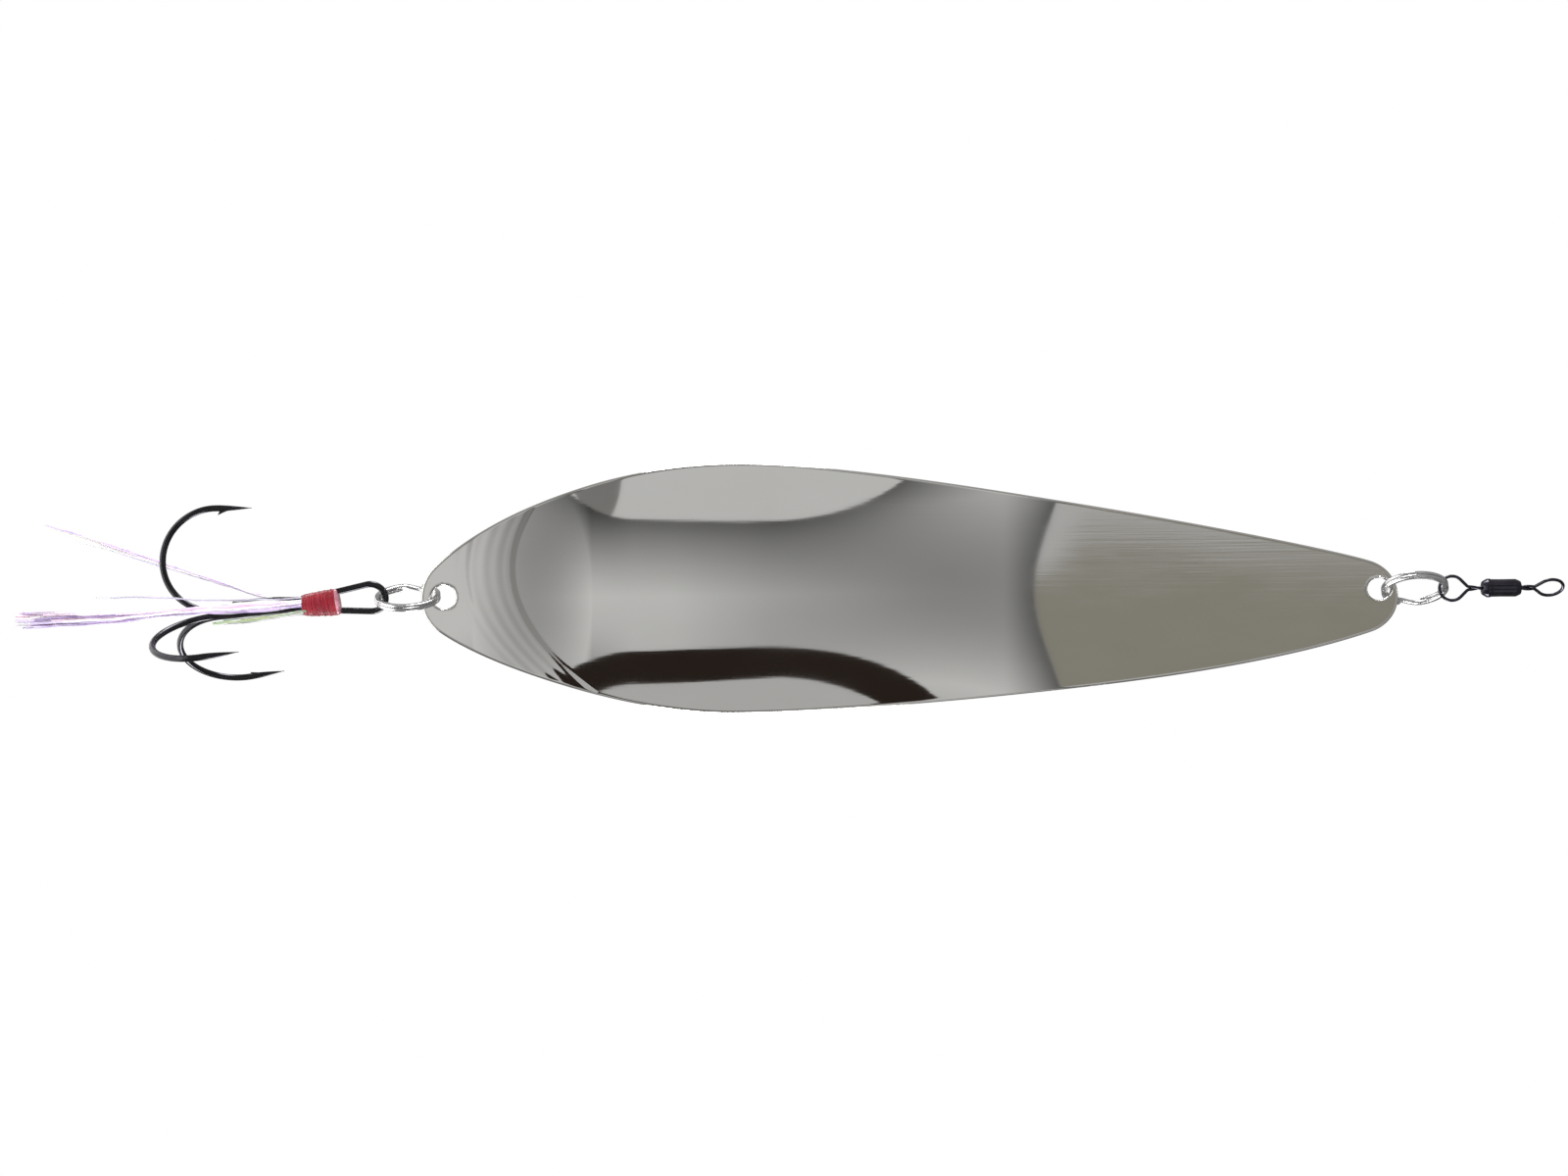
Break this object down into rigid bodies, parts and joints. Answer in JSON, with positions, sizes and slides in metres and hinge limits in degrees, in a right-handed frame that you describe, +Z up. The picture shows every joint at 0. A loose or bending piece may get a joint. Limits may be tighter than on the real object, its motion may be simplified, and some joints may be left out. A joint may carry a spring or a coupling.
{
  "type": "spoon lure",
  "caption": "Trolling spoon: polished cupped metal blade, barrel swivel and split ring at the line end, tinsel-dressed treble hook on a split ring at the tail.",
  "frame": {"origin": "centre of the round of the line eye, the loop the fishing line is tied to", "axes": "+Z up the hanging lure, from the hook to the line eye; hollow side of the blade towards -Y; blade width along X"},
  "size_m": [0.0365, 0.0363, 0.2226],
  "materials": {
    "blade_chrome": "bright nickel or chrome plate on stamped metal, faint lengthwise polish lines",
    "ring_steel": "bright nickel-plated spring wire",
    "swivel_black": "black nickel over brass, semi-gloss",
    "hook_black": "black nickel over carbon steel, gloss",
    "braze": "braze metal under the black nickel plating",
    "red_thread": "waxed binding thread, wound turn by turn",
    "clear_cement": "clear varnish bead over red thread",
    "tinsel_lilac": "iridescent polyester film, lilac and pink",
    "tinsel_pale": "iridescent polyester film, pearl",
    "tinsel_green": "iridescent polyester film, greenish silver",
    "tinsel_dark": "dark metallised film"
  },
  "bodies": {
    "line_eye": {"swivel_front_eye": "swivel_black"},
    "barrel": {"swivel_barrel": "swivel_black"},
    "lure_eye": {"swivel_rear_eye": "swivel_black"},
    "front_ring": {"front_split_ring": "ring_steel"},
    "spoon": {"blade": "blade_chrome"},
    "rear_ring": {"rear_split_ring": "ring_steel"},
    "treble": {"hook_double_wire": "hook_black", "hook_single_wire": "hook_black", "hook_braze": "braze", "thread_wrap": "red_thread", "thread_cement": "clear_cement", "tinsel_tail": "tinsel_lilac", "tinsel_wisp": "tinsel_pale", "tinsel_strand": "tinsel_pale", "tinsel_flash_green": "tinsel_green", "tinsel_flash_white": "tinsel_pale", "tinsel_flash_black": "tinsel_dark"}
  },
  "joints": [
    {"name": "line_eye_spin", "type": "hinge", "parent": "line_eye", "child": "barrel", "pos_m": [0, 0, -0.00417], "axis": [0, 0, 1], "continuous": true},
    {"name": "lure_eye_spin", "type": "hinge", "parent": "barrel", "child": "lure_eye", "pos_m": [0, 0, -0.00958], "axis": [0, 0, 1], "continuous": true},
    {"name": "front_ring_swing", "type": "hinge", "parent": "lure_eye", "child": "front_ring", "pos_m": [0, 0, -0.01467], "axis": [0.454, 0.891, 0], "range_deg": [-75, 75]},
    {"name": "blade_swing", "type": "hinge", "parent": "front_ring", "child": "spoon", "pos_m": [0, 0, -0.0219], "axis": [1, 0, 0], "range_deg": [-60, 45]},
    {"name": "rear_ring_swing", "type": "hinge", "parent": "spoon", "child": "rear_ring", "pos_m": [0, -0.01286, -0.16055], "axis": [1, 0, 0], "range_deg": [-75, 60]},
    {"name": "treble_swing", "type": "hinge", "parent": "rear_ring", "child": "treble", "pos_m": [0, -0.01351, -0.16754], "axis": [-0.342, 0.9357, -0.0868], "range_deg": [-75, 75]}
  ]
}
